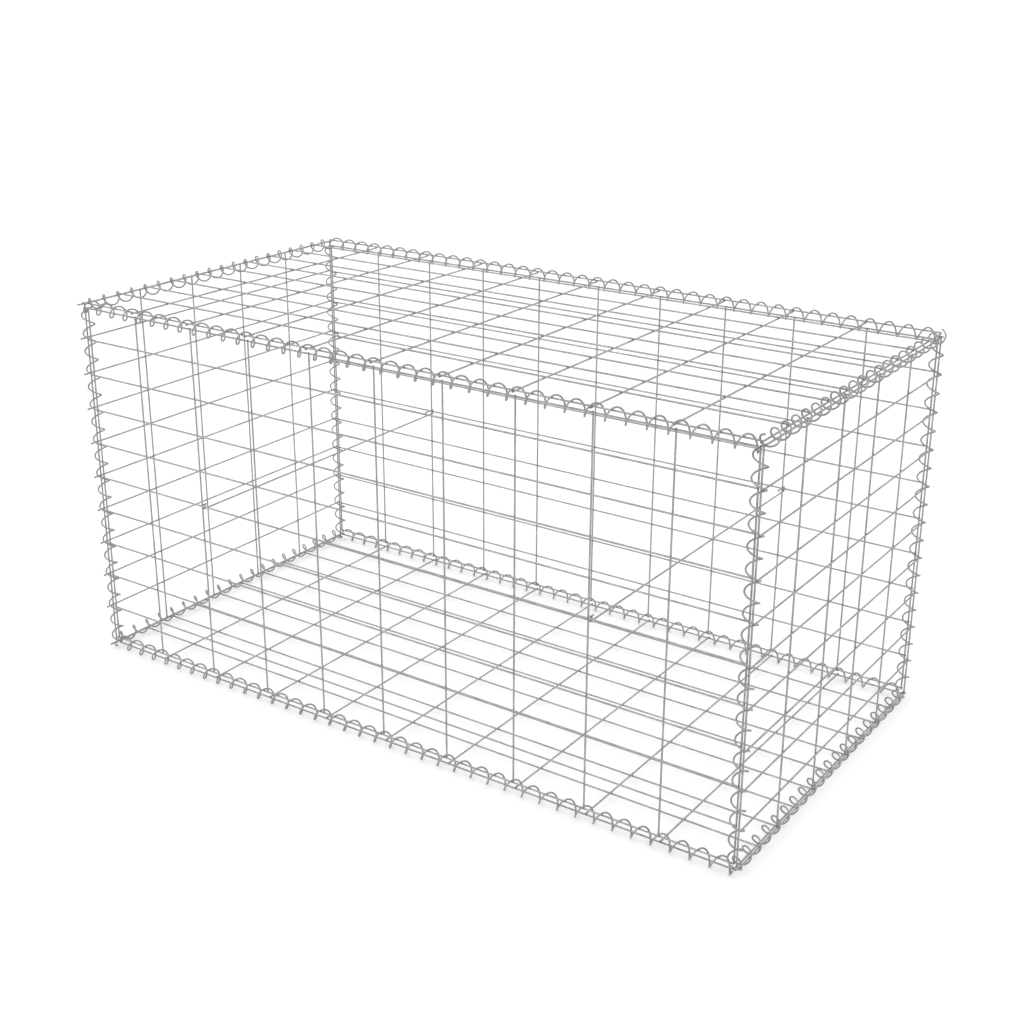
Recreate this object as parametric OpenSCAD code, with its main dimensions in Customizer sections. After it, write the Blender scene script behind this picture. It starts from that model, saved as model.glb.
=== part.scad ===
// Gabion basket: six welded wire mesh panels, laced together along all twelve edges with
// spiral wires, and held in shape by two cross ties. It stands on its four bottom spirals.
// X runs along the length, Y from front to back, Z up. The origin is the middle of the footprint.

/* [Basket] */
// Length between the two end panels
basket_l = 1990; // [1580:10:2400]
// Width between the front and back panels
basket_w = 1006; // [800:2:1220]
// Height between the bottom panel and the lid
basket_h = 1008; // [800:2:1220]

/* [Mesh] */
// Diameter of the mesh wire
wire_d = 4; // [3:0.1:5]
// Spacing of the wires that cross the length
long_cell = 200; // [150:1:250]
// Spacing of the rows in the walls, and of the long wires in the bottom and the lid
short_cell = 99; // [80:1:120]
// How deep two crossing wires are pressed into each other at a weld
weld_sink = 0.3; // [0.1:0.1:0.6]
// How far the rows of the front, back and left panels sit above the middle of the wall
row_rise = 5; // [0:1:8]
// How far the rows of the right panel sit below the rows of the other walls
right_drop = 10; // [0:1:12]
// How far the long wires of the bottom and the lid sit behind the middle
long_wire_shift = 15; // [0:1:20]
// How far nearer the front the whole lid is laced on
lid_shift = 8; // [0:1:10]

/* [Seams] */
// Gap from the bottom or the lid to the edge wire of a wall
wall_gap = 15; // [12:1:18]
// Gap from an end panel to the upright edge wires of the front and back panels
side_gap = 8; // [7:1:10]
// Gap from an end panel to the edge wires of the bottom and the lid
flat_gap = 6; // [4:1:8]

/* [Spirals] */
// Diameter of the spiral wire
spiral_wire_d = 4; // [3:0.1:5]
// Diameter of a spiral, measured to the middle of its wire
spiral_d = 33; // [32:1:38]
// Turns of a lengthwise spiral in one long cell
turns_per_long_cell = 4; // [3:1:5]
// Turns of a depthwise or upright spiral in one short cell
turns_per_short_cell = 2; // [1:1:3]
// Clear gap between spirals that meet at a corner
corner_gap = 2; // [1:1:10]
// Gap between a spiral or a tie and the wires that it bears on
seat_gap = 0.3; // [0.1:0.1:0.6]

/* [Ties] */
// Long cells from the end of the basket to a cross tie
tie_cells = 2; // [1:1:4]
// Diameter of the tie wire
tie_d = 4; // [3:0.1:5]
// Inner radius of the hook at each end of a tie
tie_hook_r = 4; // [3:0.5:8]
// Length of the wire that runs back from a hook
tie_return = 40; // [20:1:60]

/* [Hidden] */

half_l = basket_l / 2;
half_w = basket_w / 2;
// Uprights of the end panels stand in every second short cell.
end_cell = 2 * short_cell;
// The straight wires are eight-sided bars with the section area of the round wire.
wire_sides = 8;
round_sides = 32;
even_area = sqrt(2 * PI / wire_sides / sin(360 / wire_sides));
wire_flat = wire_d / 2 * even_area * cos(180 / wire_sides);
// Half the distance between the middles of two wires that cross at a weld
layer = wire_flat - weld_sink / 2;

// The spirals reach this far from their own middle line.
spiral_r = spiral_d / 2;
spiral_in = spiral_r - spiral_wire_d / 2;
spiral_out = spiral_r + spiral_wire_d / 2;
spiral_steps = 6;
long_pitch = long_cell / turns_per_long_cell;
short_pitch = short_cell / turns_per_short_cell;

// How far the middle line of a spiral hangs below a wire inside it that carries it. The wire
// may lie a little aside of the middle line.
function hang(aside) =
    let (flat_half = wire_flat * tan(180 / wire_sides))
    spiral_in - (abs(aside) + flat_half) * tan(180 / spiral_steps) - wire_flat - seat_gap;

// Height of the bottom panel, which leaves the bottom spirals standing on Z = 0
base_z = spiral_out + hang(0) - wall_gap;
top_z = base_z + basket_h;
mid_z = base_z + basket_h / 2;

galvanised = [0.66, 0.67, 0.68];

// Places of the wires of one direction: two edge wires, and the inner ones about the middle
function places(low, high, cell, middle) =
    let (cells = max(2, round((high - low) / cell)))
    concat(
        [low],
        [for (i = [1:cells - 1]) middle + (i - cells / 2) * cell],
        [high]
    );

// A straight mesh wire, as an eight-sided bar that stands on the XY plane
module bar(length) {
    rotate([0, 0, 180 / wire_sides])
        cylinder(d = wire_d * even_area, h = length, $fn = wire_sides);
}

// A mesh in the XY plane: the wires along X lie above it, the wires along Y below it.
module mesh(x_places, y_places) {
    x_low = x_places[0] - wire_d / 2;
    x_high = x_places[len(x_places) - 1] + wire_d / 2;
    y_low = y_places[0] - wire_d / 2;
    y_high = y_places[len(y_places) - 1] + wire_d / 2;
    for (y = y_places)
        translate([x_low, y, layer])
            rotate([0, 90, 0])
                bar(x_high - x_low);
    for (x = x_places)
        translate([x, y_low, -layer])
            rotate([-90, 0, 0])
                bar(y_high - y_low);
}

wall_low = base_z + wall_gap;
wall_high = top_z - wall_gap;
function wall_rows(rise) = places(wall_low, wall_high, short_cell, mid_z + rise);
side_columns = places(side_gap - half_l, half_l - side_gap, long_cell, 0);
end_columns = places(-half_w, half_w, end_cell, 0);
flat_columns = places(flat_gap - half_l, half_l - flat_gap, long_cell, 0);
function flat_rows(shift) = places(shift - half_w, shift + half_w, short_cell, long_wire_shift);

// The wires along the length are on the outside of every panel.
module front_panel() {
    color(galvanised)
        translate([0, -half_w, 0])
            rotate([90, 0, 0])
                mesh(side_columns, wall_rows(row_rise));
}

module back_panel() {
    color(galvanised)
        translate([0, half_w, 0])
            mirror([0, 1, 0])
                rotate([90, 0, 0])
                    mesh(side_columns, wall_rows(row_rise));
}

module left_panel() {
    color(galvanised)
        translate([-half_l, 0, 0])
            mirror([1, 0, 0])
                rotate([90, 0, 90])
                    mesh(end_columns, wall_rows(row_rise));
}

module right_panel() {
    color(galvanised)
        translate([half_l, 0, 0])
            rotate([90, 0, 90])
                mesh(end_columns, wall_rows(row_rise - right_drop));
}

module bottom_panel() {
    color(galvanised)
        translate([0, 0, base_z])
            mirror([0, 0, 1])
                mesh(flat_columns, flat_rows(0));
}

module lid_panel() {
    color(galvanised)
        translate([0, 0, top_z])
            mesh(flat_columns, flat_rows(-lid_shift));
}

// Corners of the wire's square section at one step of a spiral along Z
function spiral_ring(step, pitch) =
    let (
        turn = 360 * step / spiral_steps,
        z = pitch * step / spiral_steps,
        h = spiral_wire_d / 2
    )
    [for (c = [[-h, -h], [h, -h], [h, h], [-h, h]])
        [(spiral_r + c[0]) * cos(turn), (spiral_r + c[0]) * sin(turn), z + c[1]]];

// A right-handed spiral along Z, from one whole step to another. Step 0 is at Z = 0 and on +X.
module spiral(first, last, pitch) {
    count = last - first;
    points = [for (i = [first:last]) each spiral_ring(i, pitch)];
    sides = [
        for (i = [0:count - 1], k = [0:3])
            let (a = 4 * i + k, b = 4 * i + (k + 1) % 4)
            each [[a, b, b + 4], [a, b + 4, a + 4]]
    ];
    near_end = [[3, 2, 1], [3, 1, 0]];
    far_end = [for (f = [[0, 1, 2], [0, 2, 3]]) [for (k = f) 4 * count + k]];
    polyhedron(points = points, faces = concat(sides, near_end, far_end), convexity = 10);
}

// A spiral along Z from low to high, which bears on the wire at cross_place. That wire lies in
// the direction toward, and so far aside of the spiral's middle line, counted anticlockwise.
// The spiral is worked out right-handed and then mirrored, so the two are counted backwards.
module lacing(low, high, pitch, cross_place, toward, aside) {
    step_z = pitch / spiral_steps;
    step_turn = 360 / spiral_steps;
    // The straight step that crosses the wire, how far aside it starts and ends, and its slope
    step = floor((-toward - asin(aside / spiral_r)) / step_turn);
    step_start = spiral_r * sin(step * step_turn + toward);
    step_end = spiral_r * sin((step + 1) * step_turn + toward);
    lead = atan(step_z / (step_end - step_start));
    // How far along Z the middles of the two wires are apart where they cross. The last part
    // makes up for the turn of the wire's section within a step.
    beside = (wire_d / 2 * even_area + seat_gap) / cos(lead)
        + spiral_wire_d / 2 * (1 + tan(lead) * (abs(aside) / spiral_r + sin(step_turn / 2)));
    steps_before = step + (-aside - step_start) / (step_end - step_start);
    wanted = cross_place + beside - step_z * steps_before;
    start = wanted - pitch * round((wanted - low) / pitch);
    first = ceil((low - start) / step_z);
    last = floor((high - start) / step_z);
    color(galvanised)
        translate([0, 0, start])
            mirror([0, 1, 0])
                spiral(first, last, pitch);
}

// Directions as the lengthwise and the depthwise spirals count them
down = 0;
long_back = 90;
long_front = 270;
deep_left = 90;
deep_right = 270;

// Middle lines of the seams. The spirals of the bottom hang from the lowest wires of the walls,
// and those of the top from the edge wires of the lid.
seam_x = half_l + layer;
seam_y = half_w + layer;
bottom_seam_z = wall_low - hang(0);
front_seam_z = top_z + layer - hang(lid_shift - layer);
back_seam_z = top_z + layer - hang(lid_shift + layer);
end_seam_z = top_z - layer - hang(flat_gap + layer);
upright_seam_x = half_l - (side_gap + layer) / 2;

// The lengthwise spirals run nearly the whole length. The others stop short of them.
long_end = half_l - side_gap - (wire_d + spiral_wire_d) / 2 - seat_gap;
corner_room = spiral_out + corner_gap + spiral_wire_d / 2;
deep_end = seam_y - corner_room;
upright_low = bottom_seam_z + corner_room;
upright_high = end_seam_z - corner_room;

module long_spiral(side, z, toward, aside) {
    translate([0, side * seam_y, z])
        rotate([0, 90, 0])
            lacing(-long_end, long_end, long_pitch, side_columns[1], toward, aside);
}

module deep_spiral(side, z, cross_place, toward, aside) {
    translate([side * seam_x, 0, z])
        rotate([-90, 0, 0])
            rotate([0, 0, 90])
                lacing(-deep_end, deep_end, short_pitch, cross_place, toward, aside);
}

// An upright spiral rests on the rows of an end panel.
module upright_spiral(side_x, side_y, rise) {
    translate([side_x * upright_seam_x, side_y * seam_y, 0])
        lacing(
            upright_low, upright_high, short_pitch, wall_rows(rise)[1],
            -90 * side_y, side_x * side_y * (seam_x - upright_seam_x)
        );
}

// The bottom spirals bear on the crossing wires of the bottom, the top ones on those of the walls.
// The bottom's wires lie so far above the middle lines of the bottom spirals.
bottom_columns_up = base_z + layer - bottom_seam_z;
bottom_rows_up = base_z - layer - bottom_seam_z;
module spiral_front_bottom() { long_spiral(-1, bottom_seam_z, long_back, bottom_columns_up); }
module spiral_back_bottom() { long_spiral(1, bottom_seam_z, long_front, -bottom_columns_up); }
module spiral_front_top() { long_spiral(-1, front_seam_z, down, 2 * layer); }
module spiral_back_top() { long_spiral(1, back_seam_z, down, -2 * layer); }
module spiral_left_bottom() {
    deep_spiral(-1, bottom_seam_z, flat_rows(0)[1], deep_right, -bottom_rows_up);
}
module spiral_right_bottom() {
    deep_spiral(1, bottom_seam_z, flat_rows(0)[1], deep_left, bottom_rows_up);
}
module spiral_left_top() { deep_spiral(-1, end_seam_z, end_columns[1], down, -2 * layer); }
module spiral_right_top() { deep_spiral(1, end_seam_z, end_columns[1], down, 2 * layer); }
module spiral_front_left() { upright_spiral(-1, -1, row_rise); }
module spiral_front_right() { upright_spiral(1, -1, row_rise - right_drop); }
module spiral_back_left() { upright_spiral(-1, 1, row_rise); }
module spiral_back_right() { upright_spiral(1, 1, row_rise - right_drop); }

// A cross tie hooks over one row of the front and back panels, beside an upright.
tie_rows = wall_rows(row_rise);
tie_row_z = tie_rows[floor(len(tie_rows) / 2)];
tie_bend_r = tie_hook_r + tie_d / 2;
tie_bend_y = half_w + layer + wire_d / 2 + seat_gap - tie_hook_r;
tie_beside = (wire_d + tie_d) / 2 + seat_gap;

// The half of a tie that reaches the back panel, from the middle of the basket
module tie_half() {
    translate([0, 0, -tie_bend_r])
        rotate([-90, 0, 0])
            cylinder(d = tie_d, h = tie_bend_y, $fn = round_sides);
    translate([0, tie_bend_y - tie_return, tie_bend_r])
        rotate([-90, 0, 0])
            cylinder(d = tie_d, h = tie_return, $fn = round_sides);
    translate([0, tie_bend_y, 0])
        rotate([90, 0, 90])
            rotate([0, 0, -90])
                rotate_extrude(angle = 180, $fn = round_sides)
                    translate([tie_bend_r, 0])
                        circle(d = tie_d, $fn = round_sides);
}

module tie(x) {
    color(galvanised)
        translate([x, 0, tie_row_z]) {
            tie_half();
            mirror([0, 1, 0])
                tie_half();
        }
}

module tie_left() { tie(side_columns[tie_cells] + tie_beside); }
module tie_right() { tie(side_columns[len(side_columns) - 1 - tie_cells] + tie_beside); }

front_panel();
back_panel();
left_panel();
right_panel();
bottom_panel();
lid_panel();
spiral_front_bottom();
spiral_back_bottom();
spiral_front_top();
spiral_back_top();
spiral_left_bottom();
spiral_right_bottom();
spiral_left_top();
spiral_right_top();
spiral_front_left();
spiral_front_right();
spiral_back_left();
spiral_back_right();
tie_left();
tie_right();
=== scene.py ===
# %% [markdown]
# # A gabion basket of welded wire mesh
# A gabion is a wire box that is filled with stones to make a wall. This one is empty and shut:
# six flat panels of welded mesh, laced together along all twelve edges with spiral wires, and
# two cross ties inside that stop the long sides from bulging.
#
# Everything here is thin round wire. The CAD frame has the right wires in the right places,
# but as eight-sided bars and six-step spirals. In this lesson each panel, spiral and tie is
# modelled again as smooth round wire, within a few millimetres of the same places, with
# welds, cut ends and a galvanised finish.

import math
import random

import bpy
from mathutils import Matrix, Vector


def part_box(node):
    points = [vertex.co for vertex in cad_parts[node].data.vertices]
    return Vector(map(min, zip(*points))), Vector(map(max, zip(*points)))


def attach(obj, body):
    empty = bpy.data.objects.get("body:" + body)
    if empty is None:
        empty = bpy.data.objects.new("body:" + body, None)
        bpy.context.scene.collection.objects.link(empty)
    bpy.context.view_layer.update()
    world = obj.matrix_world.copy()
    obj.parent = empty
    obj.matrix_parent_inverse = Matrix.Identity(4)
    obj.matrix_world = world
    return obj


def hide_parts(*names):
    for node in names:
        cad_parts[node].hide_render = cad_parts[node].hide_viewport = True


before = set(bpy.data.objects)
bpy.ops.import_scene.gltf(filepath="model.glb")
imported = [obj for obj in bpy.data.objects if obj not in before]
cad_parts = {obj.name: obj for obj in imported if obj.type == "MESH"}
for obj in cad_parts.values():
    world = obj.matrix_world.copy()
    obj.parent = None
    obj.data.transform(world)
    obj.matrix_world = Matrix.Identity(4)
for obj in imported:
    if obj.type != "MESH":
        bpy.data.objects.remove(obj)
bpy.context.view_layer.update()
MM = 0.001

# %% [markdown]
# ## The camera
# The basket is seen from in front of its right-hand front corner and from above, at about the
# height of a raised hand, so that the lid, the front and the right end all show. A lens a
# little longer than normal keeps the long edges nearly parallel. The shift moves the frame,
# not the camera, so no line changes its slope.

# %% Make the camera
CAMERA_PLACE = (2.2172, -3.1836, 2.0142)
CAMERA_TILT = 69.265
CAMERA_TURN = 35.005
LENS_MM = 54.318
SENSOR_MM = 36
LENS_SHIFT = (0.0183, -0.0211)

camera_data = bpy.data.cameras.new("camera")
camera_data.sensor_width = SENSOR_MM
camera_data.lens = LENS_MM
camera_data.shift_x, camera_data.shift_y = LENS_SHIFT
camera = bpy.data.objects.new("camera", camera_data)
camera.location = CAMERA_PLACE
camera.rotation_euler = (math.radians(CAMERA_TILT), 0, math.radians(CAMERA_TURN))
bpy.context.scene.collection.objects.link(camera)
bpy.context.scene.camera = camera
print("camera", CAMERA_PLACE, "lens", LENS_MM, "mm")

# %% [markdown]
# ## A few helpers for handwork
# An operator acts on everything that is selected, so each step starts from nothing selected.
# Then the faces or edges to work on are picked by their place or their direction, just as a
# hand would click them, and edit mode opens on them.

# %% Pick faces and edges
FACES = (False, False, True)
EDGES = (False, True, False)
FACING = 0.9


def only(obj):
    """Selects this object alone."""
    bpy.ops.object.select_all(action="DESELECT")
    obj.select_set(True)
    bpy.context.view_layer.objects.active = obj


def open_with(obj, parts, mode, wanted):
    """Opens edit mode with only those faces or edges selected that wanted is true for."""
    only(obj)
    bpy.context.tool_settings.mesh_select_mode = mode
    for kind in (obj.data.vertices, obj.data.edges, obj.data.polygons):
        kind.foreach_set("select", [False] * len(kind))
    for part in parts:
        part.select = wanted(part)
    bpy.ops.object.mode_set(mode="EDIT")


def close():
    bpy.ops.object.mode_set(mode="OBJECT")


def whole(name, pieces):
    """Joins pieces into one object of that name, with its place in its mesh."""
    bpy.ops.object.select_all(action="DESELECT")
    for piece in pieces:
        piece.select_set(True)
    bpy.context.view_layer.objects.active = pieces[0]
    if len(pieces) > 1:
        bpy.ops.object.join()
    bpy.ops.object.transform_apply(location=True, rotation=True, scale=True)
    made = bpy.context.object
    made.name = made.data.name = name
    return made


# %% [markdown]
# ## One straight mesh wire
# The wire comes off a coil, is straightened and is cut to length by a shear, which leaves
# a flat, slightly chamfered end. One short cylinder is the start. Its end face is extruded
# along the wire, with a ring before and after each weld, so that the finish can change
# there. Then both rims get their chamfer. Twelve sides look round at this thickness.

# %% Model a straight wire
WIRE_R = 2.2 * MM
WIRE_SIDES = 12
CHAMFER = 0.35 * MM
HEAT_CORE = 2.2 * MM
HEAT_REACH = 8 * MM
TINY = 0.01 * MM
SMOOTH = math.radians(40)


def straight_wire(length, welds):
    """A wire along Z from 0 to length. The welds are places along it."""
    steps = (-HEAT_REACH, -HEAT_CORE, HEAT_CORE, HEAT_REACH)
    rings = sorted(weld + step for weld in welds for step in steps)
    rings = [ring for ring in rings if WIRE_R < ring < length - WIRE_R] + [length]
    bpy.ops.mesh.primitive_cylinder_add(
        vertices=WIRE_SIDES, radius=WIRE_R, depth=rings[0], location=(0, 0, rings[0] / 2)
    )
    wire = bpy.context.object
    bpy.ops.object.transform_apply(location=True)
    open_with(wire, wire.data.polygons, FACES, lambda face: face.normal.z > FACING)
    for low, high in zip(rings, rings[1:]):
        bpy.ops.mesh.extrude_region_move(TRANSFORM_OT_translate={"value": (0, 0, high - low)})
    close()
    chamfer_ends(wire, length)
    return wire


def chamfer_ends(wire, length):
    """Bevels the rim at each end of a straight wire."""
    corners = wire.data.vertices

    def on_rim(edge):
        low, high = (corners[i].co.z for i in edge.vertices)
        return abs(low - high) < TINY and not TINY < low < length - TINY

    open_with(wire, wire.data.edges, EDGES, on_rim)
    bpy.ops.mesh.bevel(offset=CHAMFER, segments=1, affect="EDGES")
    close()
    bpy.ops.object.shade_smooth_by_angle(angle=SMOOTH)


# %% [markdown]
# ## What a weld and a cut do to the zinc
# A resistance weld burns the zinc off for a few millimetres, and the cut leaves bare steel at
# the wire's end. Both are kept as a number at each vertex, which the finish reads later, so
# they stay with the wire wherever it is copied to.

# %% Mark the welds and the cut ends
def mark(wire, name, amount):
    """Keeps amount(place) at each vertex of the wire as an attribute of that name."""
    attribute = wire.data.attributes.new(name, "FLOAT", "POINT")
    for vertex, value in zip(wire.data.vertices, attribute.data):
        value.value = amount(vertex.co)


def mark_straight(wire, length, welds):
    def heat(place):
        away = min(abs(place.z - weld) for weld in welds)
        return max(0, min(1, (HEAT_REACH - away) / (HEAT_REACH - HEAT_CORE)))

    mark(wire, "weld_heat", heat)
    mark(wire, "cut_end", lambda place: 0 if TINY < place.z < length - TINY else 1)


# %% [markdown]
# ## One weld
# Where two wires cross, the current melts them into each other by a tenth of their thickness,
# and a little steel is squeezed out into the corners. A squat disc between the wires, with
# both rims bevelled round, gives that bead. It is copied to every crossing, so it is kept to
# a few dozen faces.

# %% Model the weld bead
BEAD_R = 2.3 * MM
BEAD_DEPTH = 1.7 * MM
BEAD_SIDES = 8
BEAD_ROUND = 0.6 * MM

bpy.ops.object.select_all(action="DESELECT")
bpy.ops.mesh.primitive_cylinder_add(vertices=BEAD_SIDES, radius=BEAD_R, depth=BEAD_DEPTH)
bead = bpy.context.object
bead.name = "weld_bead"
open_with(bead, bead.data.polygons, FACES, lambda face: abs(face.normal.z) > FACING)
bpy.ops.mesh.bevel(offset=BEAD_ROUND, segments=2, affect="EDGES")
close()
bpy.ops.object.shade_smooth()
mark(bead, "weld_heat", lambda place: 1)
mark(bead, "cut_end", lambda place: 0)
print("weld bead:", len(bead.data.polygons), "faces")


# %% [markdown]
# ## A welded panel
# A mesh machine lays the wires of one direction over those of the other and welds every
# crossing. In all six panels the wires along the panel are outside and the wires across it
# are inside. One wire of each direction is modelled, and copied to its places in the frame's
# box of that panel: an edge wire on each side, and the rest in even steps about the middle.

# %% Lay the wires of a panel
WELD_SINK = 0.2 * MM
LAYER = WIRE_R - WELD_SINK
X, Y, Z = 0, 1, 2


def places(low, high, cell, middle):
    """An edge wire at each end, and the inner wires in even steps about the middle."""
    cells = round((high - low) / cell)
    inner = [middle + (i - cells / 2) * cell for i in range(1, cells)]
    return [low, *inner, high]


def copy_to(source, place, direction, turn=0):
    """A copy with its own mesh, whose Z axis points in that direction."""
    made = source.copy()
    made.data = source.data.copy()
    bpy.context.scene.collection.objects.link(made)
    aim = direction.to_track_quat("Z", "Y").to_matrix().to_4x4()
    made.matrix_world = Matrix.Translation(place) @ aim @ Matrix.Rotation(turn, 4, "Z")
    return made


def lay_wires(at, along, length, across, across_places, welds):
    """Straight wires side by side: each starts at the point at, moved to its place across."""
    source = straight_wire(length, welds)
    mark_straight(source, length, welds)
    wires = []
    for place in across_places:
        start = at.copy()
        start[across] = place
        wires.append(copy_to(source, start, Vector([float(i == along) for i in range(3)])))
    bpy.data.objects.remove(source)
    return wires


# %% [markdown]
# ## The beads and the whole panel
# Every crossing gets its bead, turned and sized a little differently each time, as welds are.
#
# A real mesh is never quite regular, so a panel also takes small moves in millimetres:
# row_up and column_up shift the inner wires, foot and head shift the first and last long
# wire, sides shift the first and last crossing wire, reach lets the long wires stick out
# past the first edge, and move shifts the whole panel.

# %% Weld a panel together
LONG_CELL = 200
END_CELL = 198
ROW_CELL = 99
BEAD_SIZES = (0.85, 1.1)
bead_dice = random.Random(12)


def weld_crossings(middle, along, across, rows, columns):
    """A bead where each row crosses each column, midway between the two layers."""
    normal = 3 - along - across
    facing = Vector([float(i == normal) for i in range(3)])
    beads = []
    for row in rows:
        for column in columns:
            spot = middle.copy()
            spot[along], spot[across] = column, row
            beads.append(copy_to(bead, spot, facing, bead_dice.uniform(0, math.pi)))
            beads[-1].scale *= bead_dice.uniform(*BEAD_SIZES)
    return beads


def mesh_panel(
    name, node, along, across, out, column_cell, row_cell=ROW_CELL,
    row_up=0, column_up=0, foot=0, head=0, sides=(0, 0), reach=0, move=(0, 0, 0),
):
    """A panel in the box of its CAD node. The long wires are on its side out, -1 or 1."""
    low, high = (corner + Vector(move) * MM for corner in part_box(node))
    middle = (low + high) / 2
    low[across] += foot * MM
    high[across] += head * MM
    low[along] += sides[0] * MM
    high[along] += sides[1] * MM
    normal = 3 - along - across
    rows = places(
        low[across] + WIRE_R, high[across] - WIRE_R, row_cell * MM,
        middle[across] + row_up * MM,
    )
    columns = places(
        low[along] + WIRE_R, high[along] - WIRE_R, column_cell * MM,
        middle[along] + column_up * MM,
    )
    start = middle.copy()
    start[along] = low[along] - reach * MM
    start[normal] = middle[normal] + out * LAYER
    welds = [column - start[along] for column in columns]
    wires = lay_wires(start, along, high[along] - start[along], across, rows, welds)

    start = middle.copy()
    start[across] = low[across]
    start[normal] = middle[normal] - out * LAYER
    welds = [row - low[across] for row in rows]
    wires += lay_wires(start, across, high[across] - low[across], along, columns, welds)

    beads = weld_crossings(middle, along, across, rows, columns)
    panel = whole(name, wires + beads)
    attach(panel, "root")
    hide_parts(node)
    print(name, len(rows), "x", len(columns), "wires,", len(panel.data.polygons), "faces")
    return panel


# %% [markdown]
# ## The six panels
# Front, back, bottom and lid have 200 mm cells along the basket, and the two ends have
# 198 mm cells. The two letters of a panel are the axes that its long wires and its crossing
# wires run along.

# %% Weld the six panels
panels = [
    mesh_panel(
        "front_mesh", "front_panel", X, Z, -1, LONG_CELL, row_cell=98.6,
        row_up=7.5, column_up=-2.5, foot=5, head=1, sides=(4, 1),
    ),
    mesh_panel(
        "back_mesh", "back_panel", X, Z, 1, LONG_CELL,
        row_up=5.5, head=-4, sides=(-3, -1),
    ),
    mesh_panel(
        "left_mesh", "left_panel", Y, Z, -1, END_CELL,
        row_up=10, column_up=-8, foot=-16, head=11, sides=(0, -6), reach=18,
        move=(-0.5, 0, 0),
    ),
    mesh_panel(
        "right_mesh", "right_panel", Y, Z, 1, END_CELL, row_cell=99.6,
        row_up=1.4, foot=-7, head=6.5, sides=(0, -6), move=(2.5, 0, 0),
    ),
    mesh_panel(
        "bottom_mesh", "bottom_panel", X, Y, -1, LONG_CELL,
        row_up=15, column_up=1, foot=8.5, head=5,
    ),
    mesh_panel(
        "lid_mesh", "lid_panel", X, Y, 1, LONG_CELL,
        row_up=18, column_up=-3, head=1, sides=(0, 4), move=(0, 0, -0.5),
    ),
]

# %% [markdown]
# ## The lacing spirals
# A lacing spiral is a hard wire wound like an open spring. It is turned in along an edge like
# a corkscrew, and takes in the edge wires of both panels. All twelve are wound left-handed.
#
# The Screw modifier makes it from one circle of wire. The circle is tilted to stand square to
# the wire's own run, so that the wire is truly round, and its distance from the origin is the
# radius of the spiral. A negative angle winds it left-handed. The ends are then closed
# and chamfered like those of a straight wire, and marked as cut.

# %% Wind a spiral
SPIRAL_STEPS = 32
FULL_TURN = 2 * math.pi


def wind(radius, pitch, length):
    """A left-handed spiral along Z, from 0 to length, that starts on +X."""
    turns = length / pitch
    lead = math.atan(pitch / (FULL_TURN * radius))
    bpy.ops.object.select_all(action="DESELECT")
    bpy.ops.mesh.primitive_circle_add(
        vertices=WIRE_SIDES, radius=WIRE_R, location=(radius, 0, 0),
        rotation=(math.pi / 2 - lead, 0, 0),
    )
    spring = bpy.context.object
    bpy.ops.object.transform_apply(location=True, rotation=True)
    screw = spring.modifiers.new("wind", "SCREW")
    screw.axis = "Z"
    screw.angle = -FULL_TURN * turns
    screw.screw_offset = length
    screw.steps = screw.render_steps = round(SPIRAL_STEPS * turns)
    bpy.ops.object.modifier_apply(modifier=screw.name)
    return spring


def close_ends(spring):
    """Fills and chamfers both ends, and turns all faces outwards."""
    open_with(spring, spring.data.polygons, FACES, lambda face: True)
    bpy.ops.mesh.fill_holes(sides=WIRE_SIDES)
    bpy.ops.mesh.select_all(action="SELECT")
    bpy.ops.mesh.normals_make_consistent(inside=False)
    close()
    open_with(
        spring, spring.data.polygons, FACES, lambda face: len(face.vertices) == WIRE_SIDES
    )
    bpy.ops.mesh.bevel(offset=CHAMFER, segments=1, affect="EDGES")
    close()
    bpy.ops.object.shade_smooth_by_angle(angle=SMOOTH)


def mark_bent(wire):
    """A bent wire has no welds. Its end faces are the only ones with more than four sides."""
    tips = [face.center.copy() for face in wire.data.polygons if len(face.vertices) > 4]
    mark(wire, "weld_heat", lambda place: 0)
    mark(wire, "cut_end", lambda place: any((place - tip).length < WIRE_R for tip in tips))


# %% [markdown]
# ## A spiral on an edge
# Each spiral sits loosely round its edge wires, so it can lie a few millimetres to one side
# and start at any angle. Its ends run on into the corners. The pitch and the moves are in
# millimetres, and the angle in degrees is where the spiral would start without that run-on.

# %% Place a spiral
RUN_ON = 18
RUN_AXES = {
    X: Matrix(((0, 0, 1), (1, 0, 0), (0, 1, 0))),
    Y: Matrix(((0, 1, 0), (0, 0, 1), (1, 0, 0))),
    Z: Matrix.Identity(3),
}


def lacing(name, node, axis, play, pitch, angle, wider=0):
    """A spiral in the box of its CAD node, moved sideways by play."""
    low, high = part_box(node)
    low[axis] -= RUN_ON * MM
    high[axis] += RUN_ON * MM
    angle += 360 * RUN_ON / pitch
    sides = [i for i in range(3) if i != axis]
    for side, move in zip(sides, play):
        low[side] += move * MM
        high[side] += move * MM
    radius = max(high[i] - low[i] for i in sides) / 2 - WIRE_R + wider * MM
    spring = wind(radius, pitch * MM, high[axis] - low[axis] - 2 * WIRE_R)
    close_ends(spring)
    mark_bent(spring)
    start = (low + high) / 2
    start[axis] = low[axis] + WIRE_R
    aim = RUN_AXES[axis].to_4x4() @ Matrix.Rotation(math.radians(angle), 4, "Z")
    spring.matrix_world = Matrix.Translation(start) @ aim
    piece = whole(name, [spring])
    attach(piece, "root")
    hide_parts(node)
    print(name, "radius", round(radius / MM, 1), "mm,", len(piece.data.polygons), "faces")
    return piece


# %% [markdown]
# ## The twelve lacings
# There is one spiral for each edge of the box: four along X, four along Y and four upright.
# Three of the long ones are wound a little wider than the rest.

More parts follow.
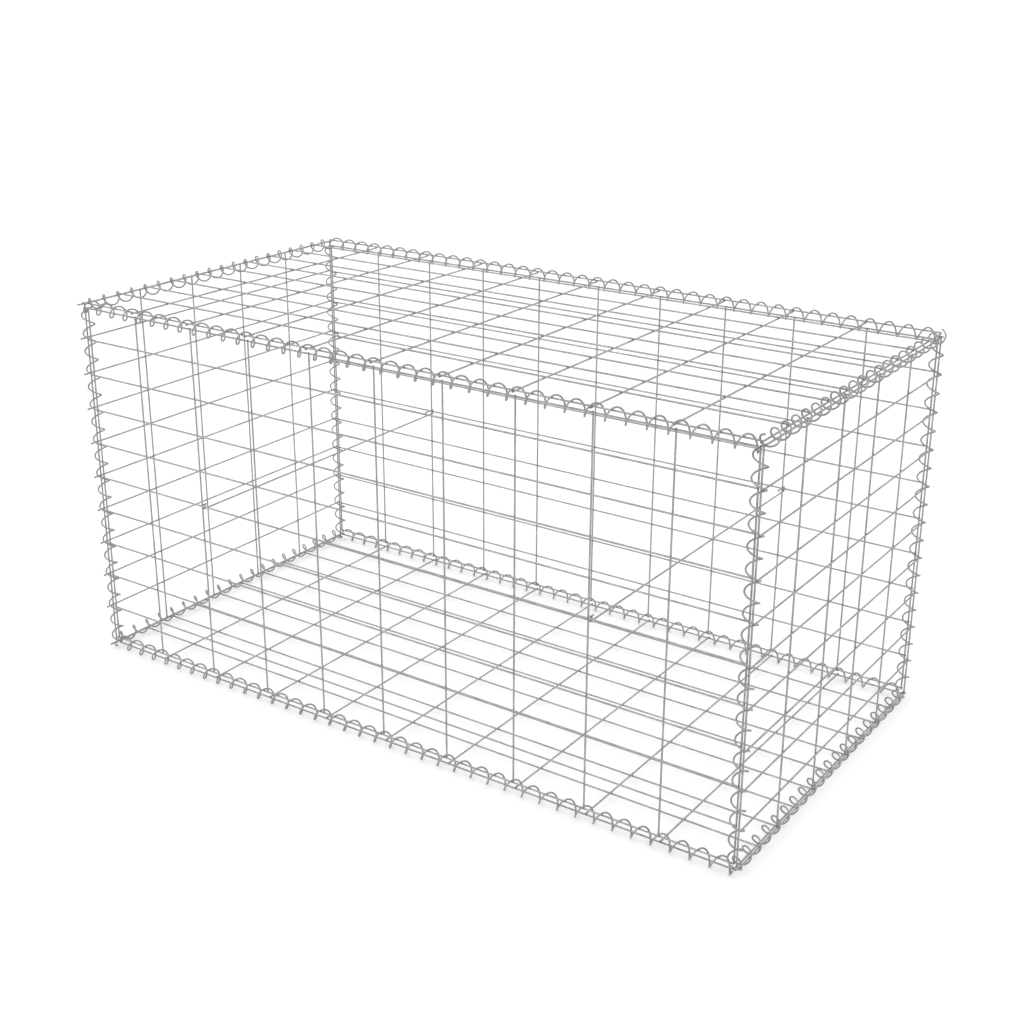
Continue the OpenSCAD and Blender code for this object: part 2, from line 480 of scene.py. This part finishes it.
# %% Lace the twelve edges
lacings = [
    lacing("front_bottom_lacing", "spiral_front_bottom", X, (3.1, 4.6), 50.56, 144, 1),
    lacing("back_bottom_lacing", "spiral_back_bottom", X, (0.2, 0.3), 50.66, 150),
    lacing("front_top_lacing", "spiral_front_top", X, (-1.0, -2.7), 50.52, 191, 0.7),
    lacing("back_top_lacing", "spiral_back_top", X, (-3.0, -5.0), 50.67, 161, 1),
    lacing("left_bottom_lacing", "spiral_left_bottom", Y, (-0.7, 3.4), 49.89, 329),
    lacing("right_bottom_lacing", "spiral_right_bottom", Y, (-9.0, 5.7), 49.90, 325),
    lacing("left_top_lacing", "spiral_left_top", Y, (1.0, -1.8), 49.96, 306),
    lacing("right_top_lacing", "spiral_right_top", Y, (-2.8, 3.5), 49.68, 227),
    lacing("front_left_lacing", "spiral_front_left", Z, (3.1, 3.7), 49.80, 226),
    lacing("front_right_lacing", "spiral_front_right", Z, (0.8, 0.7), 49.73, 245),
    lacing("back_left_lacing", "spiral_back_left", Z, (-5.0, -4.3), 49.91, 194),
    lacing("back_right_lacing", "spiral_back_right", Z, (-4.1, -1.3), 49.94, 140),
]

# %% [markdown]
# ## The cross ties
# A cross tie is one soft wire from the front to the back at half height. Each end is bent
# over a row of the mesh and runs back a little way, further at the back than at the front.
# The wire's end face is extruded for the front return, spun half round for the first hook,
# extruded through the basket, spun round for the second hook and extruded for its return,
# which is how the wire is bent on site. The ties are lifted with the rows they hold.

# %% Bend the two ties
HOOK_STEPS = 12
FRONT_RETURN = 12 * MM
BACK_RETURN = 40 * MM


def extrude_by(y):
    """Extrudes the selected end face along Y."""
    bpy.ops.mesh.extrude_region_move(TRANSFORM_OT_translate={"value": (0, y, 0)})


def hook_round(x, y, z):
    """Spins the selected end face half round a row of the mesh."""
    bpy.ops.mesh.spin(steps=HOOK_STEPS, angle=math.pi, center=(x, y, z), axis=(1, 0, 0))


def cross_tie(name, node, move):
    """A tie in the box of its CAD node, moved with the rows that it hooks over."""
    low, high = (corner + Vector(move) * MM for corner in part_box(node))
    middle = (low + high) / 2
    bend_r = (high.z - low.z) / 2 - WIRE_R
    bend_y = high.y - WIRE_R - bend_r
    bpy.ops.object.select_all(action="DESELECT")
    bpy.ops.mesh.primitive_circle_add(
        vertices=WIRE_SIDES, radius=WIRE_R, fill_type="NGON",
        location=(middle.x, FRONT_RETURN - bend_y, middle.z + bend_r),
        rotation=(math.pi / 2, 0, 0),
    )
    tie = bpy.context.object
    bpy.ops.object.transform_apply(location=True, rotation=True)
    open_with(tie, tie.data.polygons, FACES, lambda face: True)
    extrude_by(-FRONT_RETURN)
    hook_round(middle.x, -bend_y, middle.z)
    extrude_by(2 * bend_y)
    hook_round(middle.x, bend_y, middle.z)
    extrude_by(-BACK_RETURN)
    bpy.ops.mesh.select_all(action="SELECT")
    bpy.ops.mesh.remove_doubles(threshold=TINY)
    close()
    close_ends(tie)
    mark_bent(tie)
    piece = whole(name, [tie])
    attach(piece, "root")
    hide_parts(node)
    print(name, "hook radius", round(bend_r / MM, 1), "mm,", len(piece.data.polygons), "faces")
    return piece


ties = [
    cross_tie("left_cross_tie", "tie_left", (0.2, 0, 1.5)),
    cross_tie("right_cross_tie", "tie_right", (0.4, 0, 1.5)),
]
bpy.data.objects.remove(bead)

# %% [markdown]
# ## Three helpers for nodes
# A material is a chain of nodes. These three keep the chains short to write: one adds a node
# with its values, one maps a number to another range, and one mixes two colours.

# %% Add and mix nodes
MIX_FACTOR, MIX_FIRST, MIX_SECOND = 0, 6, 7
MIX_RESULT = 2


def add(nodes, kind, **values):
    """A new node. A value goes to the input of that name, or to the node's own setting."""
    node = nodes.new(kind)
    for name, value in values.items():
        if name in node.inputs:
            node.inputs[name].default_value = value
        else:
            setattr(node, name, value)
    return node


def map_range(tree, source, **ends):
    """Maps a socket from one range of values to another."""
    node = add(tree.nodes, "ShaderNodeMapRange")
    for name, value in ends.items():
        node.inputs[name.replace("_", " ").title()].default_value = value
    tree.links.new(source, node.inputs["Value"])
    return node.outputs["Result"]


def blend_colours(tree, factor, first, second):
    """A mix node: factor, first and second are sockets or plain values."""
    node = tree.nodes.new("ShaderNodeMix")
    node.data_type = "RGBA"
    for index, value in ((MIX_FACTOR, factor), (MIX_FIRST, first), (MIX_SECOND, second)):
        if isinstance(value, bpy.types.NodeSocket):
            tree.links.new(value, node.inputs[index])
        else:
            node.inputs[index].default_value = value
    return node.outputs[MIX_RESULT]


# %% [markdown]
# ## The colour of the zinc
# Hot-dip zinc is a mid-grey, dull metal. Up close it has small crystals of slightly different
# tone, the spangle, and larger patches that have weathered more or less. Noise makes the
# patches and a Voronoi texture the crystals. Both are in object coordinates, so that they
# don't stretch along the wire.

# %% Mix the zinc
PATCH_EDGES = (0.35, 0.65)
CRYSTAL_TONES = (0.84, 1.12)


def weathered(tree, place, patches_per_m):
    """How bright the zinc has stayed, from 0 to 1, in soft patches."""
    patches = add(
        tree.nodes, "ShaderNodeTexNoise", Scale=patches_per_m, Detail=4.0, Roughness=0.6
    )
    tree.links.new(place, patches.inputs["Vector"])
    low, high = PATCH_EDGES
    return map_range(tree, patches.outputs["Fac"], from_min=low, from_max=high)


def spangled(tree, place, zinc, spangle_per_m):
    """The zinc with each crystal a little lighter or darker."""
    spangle = add(tree.nodes, "ShaderNodeTexVoronoi", Scale=spangle_per_m)
    tree.links.new(place, spangle.inputs["Vector"])
    crystal = add(tree.nodes, "ShaderNodeSeparateColor")
    tree.links.new(spangle.outputs["Color"], crystal.inputs["Color"])
    low, high = CRYSTAL_TONES
    tone = map_range(tree, crystal.outputs["Red"], to_min=low, to_max=high)
    toned = add(tree.nodes, "ShaderNodeVectorMath", operation="SCALE")
    tree.links.new(zinc, toned.inputs[0])
    tree.links.new(tone, toned.inputs["Scale"])
    return toned.outputs[0]


# %% [markdown]
# ## Burns, cut ends and grain
# A weld leaves a faint brown-grey burn, and a cut end shows darker bare steel. The two marks
# kept at the vertices mix them in. The zinc is also slightly rough to the touch, which a low
# bump of fine grain gives.

# %% Mark and roughen the zinc
BURN_STRENGTH = 0.2
BURN_COLOUR = (0.14, 0.13, 0.12, 1)
STEEL_COLOUR = (0.17, 0.16, 0.15, 1)
GRAIN_PER_M = 900.0
GRAIN_DEPTH = 0.0002
GRAIN_STRENGTH = 0.35


def marked(tree, zinc):
    """The zinc with its weld burns and its bare ends."""
    heat = add(tree.nodes, "ShaderNodeAttribute", attribute_name="weld_heat")
    burn = add(tree.nodes, "ShaderNodeMath", operation="MULTIPLY")
    burn.inputs[1].default_value = BURN_STRENGTH
    tree.links.new(heat.outputs["Fac"], burn.inputs[0])
    burnt = blend_colours(tree, burn.outputs[0], zinc, BURN_COLOUR)
    cut = add(tree.nodes, "ShaderNodeAttribute", attribute_name="cut_end")
    return blend_colours(tree, cut.outputs["Fac"], burnt, STEEL_COLOUR)


def grained(tree, place):
    """The direction of a slightly grainy surface."""
    grain = add(tree.nodes, "ShaderNodeTexNoise", Scale=GRAIN_PER_M, Detail=3.0)
    tree.links.new(place, grain.inputs["Vector"])
    bump = add(
        tree.nodes, "ShaderNodeBump", Strength=GRAIN_STRENGTH, Distance=GRAIN_DEPTH
    )
    tree.links.new(grain.outputs["Fac"], bump.inputs["Height"])
    return bump.outputs["Normal"]


# %% [markdown]
# ## The galvanised finish
# The parts come together in one metal. A patch that has stayed bright is also smoother. The
# mesh, the spirals and the ties are different wire, so each has its own greys and crystals.

# %% Finish all the pieces
ZINC_METALLIC = 0.6
DULL_ROUGHER = 0.1
BRIGHT_SMOOTHER = 0.06


def galvanised(name, light, dull, spangle_per_m, patches_per_m, roughness):
    """Zinc on steel. light and dull are its two greys."""
    material = bpy.data.materials.new(name)
    material.use_nodes = True
    tree = material.node_tree
    tree.nodes.clear()
    place = add(tree.nodes, "ShaderNodeTexCoord").outputs["Object"]

    bright = weathered(tree, place, patches_per_m)
    zinc = blend_colours(tree, bright, (*dull, 1), (*light, 1))
    colour = marked(tree, spangled(tree, place, zinc, spangle_per_m))
    rough = map_range(
        tree, bright, to_min=roughness + DULL_ROUGHER, to_max=roughness - BRIGHT_SMOOTHER
    )

    shader = add(tree.nodes, "ShaderNodeBsdfPrincipled", Metallic=ZINC_METALLIC)
    tree.links.new(colour, shader.inputs["Base Color"])
    tree.links.new(rough, shader.inputs["Roughness"])
    tree.links.new(grained(tree, place), shader.inputs["Normal"])
    output = add(tree.nodes, "ShaderNodeOutputMaterial")
    tree.links.new(shader.outputs[0], output.inputs["Surface"])
    return material


mesh_zinc = galvanised(
    "galvanised_mesh", light=(0.42, 0.425, 0.43), dull=(0.33, 0.335, 0.34),
    spangle_per_m=330.0, patches_per_m=22.0, roughness=0.5,
)
spring_zinc = galvanised(
    "galvanised_spring", light=(0.40, 0.405, 0.41), dull=(0.31, 0.315, 0.32),
    spangle_per_m=420.0, patches_per_m=30.0, roughness=0.45,
)
tie_zinc = galvanised(
    "galvanised_tie", light=(0.40, 0.405, 0.41), dull=(0.30, 0.305, 0.31),
    spangle_per_m=420.0, patches_per_m=30.0, roughness=0.5,
)
for pieces, material in ((panels, mesh_zinc), (lacings, spring_zinc), (ties, tie_zinc)):
    for piece in pieces:
        piece.data.materials.clear()
        piece.data.materials.append(material)
    print(material.name, "on", len(pieces), "pieces")

# %% [markdown]
# ## The floor
# A plain white sweep: the floor and the world are both white to the camera, so no horizon
# shows. The floor adds a little glow for the camera only, which leaves the soft shadow under
# the basket but lights nothing.

# %% Lay the floor
FLOOR_SIZE = 400
FLOOR_GREY = (0.8, 0.8, 0.8, 1)
FLOOR_GLOW = 0.32
WHITE = (1, 1, 1, 1)


def camera_sees(tree, low, high):
    """A value that is high for rays that show the background, and low for all the others."""
    path = tree.nodes.new("ShaderNodeLightPath")
    seen = path.outputs["Is Camera Ray"]
    for ray in ("Is Glossy Ray", "Is Transmission Ray"):
        either = add(tree.nodes, "ShaderNodeMath", operation="MAXIMUM")
        tree.links.new(seen, either.inputs[0])
        tree.links.new(path.outputs[ray], either.inputs[1])
        seen = either.outputs[0]
    return map_range(tree, seen, to_min=low, to_max=high)


bpy.ops.object.select_all(action="DESELECT")
bpy.ops.mesh.primitive_plane_add(size=FLOOR_SIZE)
floor = bpy.context.object
floor.name = "floor"
paper = bpy.data.materials.new("floor_paper")
paper.use_nodes = True
paper_shader = paper.node_tree.nodes["Principled BSDF"]
paper_shader.inputs["Base Color"].default_value = FLOOR_GREY
paper_shader.inputs["Roughness"].default_value = 1
paper_shader.inputs["Specular IOR Level"].default_value = 0
paper_shader.inputs["Emission Color"].default_value = WHITE
paper.node_tree.links.new(
    camera_sees(paper.node_tree, 0, FLOOR_GLOW), paper_shader.inputs["Emission Strength"]
)
floor.data.materials.append(paper)
print("floor", FLOOR_SIZE, "m wide")

# %% [markdown]
# ## The light
# The world gives most of the light. Two large soft lamps give the wires a lighter top and a
# slightly darker side. They are so far away that only their direction counts.

# %% Light it
WORLD_LIGHT = 0.7
world = bpy.data.worlds.new("studio")
bpy.context.scene.world = world
world.use_nodes = True
background = world.node_tree.nodes["Background"]
background.inputs["Color"].default_value = WHITE
world.node_tree.links.new(
    camera_sees(world.node_tree, WORLD_LIGHT, 1), background.inputs["Strength"]
)

LAMPS = (
    ("key_lamp", (-2.5, -4.5, 5.0), 0.8),
    ("fill_lamp", (4.5, 2.0, 5.0), 0.55),
)
LAMP_SPREAD = math.radians(60)
for name, place, strength in LAMPS:
    lamp_data = bpy.data.lights.new(name, "SUN")
    lamp_data.energy = strength
    lamp_data.angle = LAMP_SPREAD
    lamp = bpy.data.objects.new(name, lamp_data)
    lamp.location = place
    lamp.rotation_euler = Vector(place).to_track_quat("Z", "Y").to_euler()
    bpy.context.scene.collection.objects.link(lamp)
    print(name, strength)

bpy.context.scene.view_settings.view_transform = "Standard"
